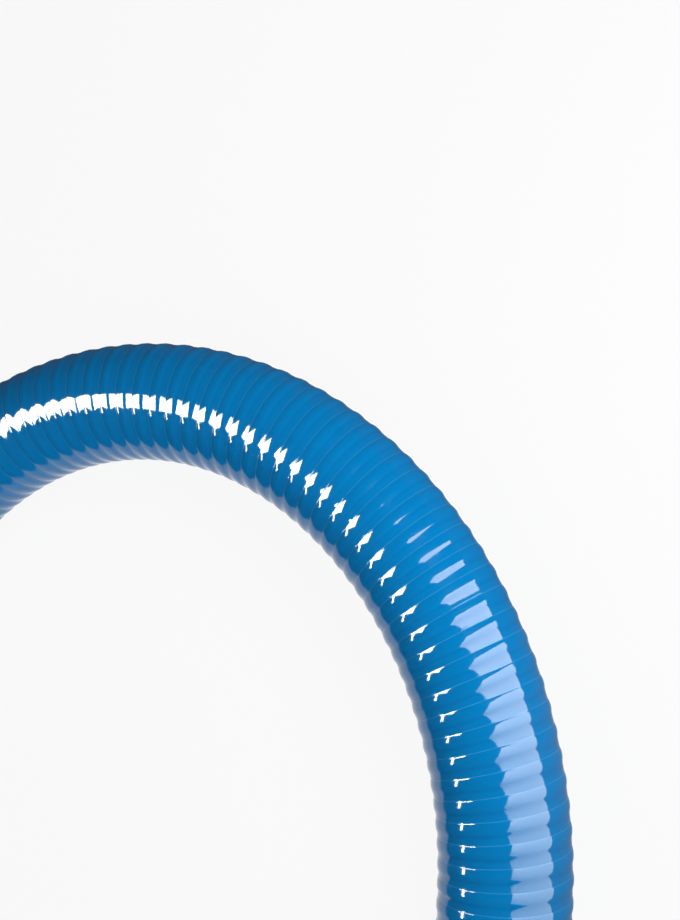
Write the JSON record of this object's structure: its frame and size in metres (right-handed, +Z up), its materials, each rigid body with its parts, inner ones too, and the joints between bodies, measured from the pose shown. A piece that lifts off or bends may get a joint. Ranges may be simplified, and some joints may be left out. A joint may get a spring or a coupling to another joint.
{
  "type": "pool hose",
  "caption": "Flexible ribbed pool hose, a short cut length bent into an arch and lying flat, open at both square-cut ends.",
  "frame": {"origin": "on the floor, under the middle of the hose's overall box", "axes": "+Z up from the floor, +Y in plan from the two cut ends towards the crown of the bend, +X towards the right leg"},
  "size_m": [0.375, 0.4358, 0.05],
  "materials": {
    "hose_pvc": "glossy extruded flexible PVC, clear blue"
  },
  "bodies": {
    "root": {"pool_hose": "hose_pvc"}
  },
  "joints": []
}
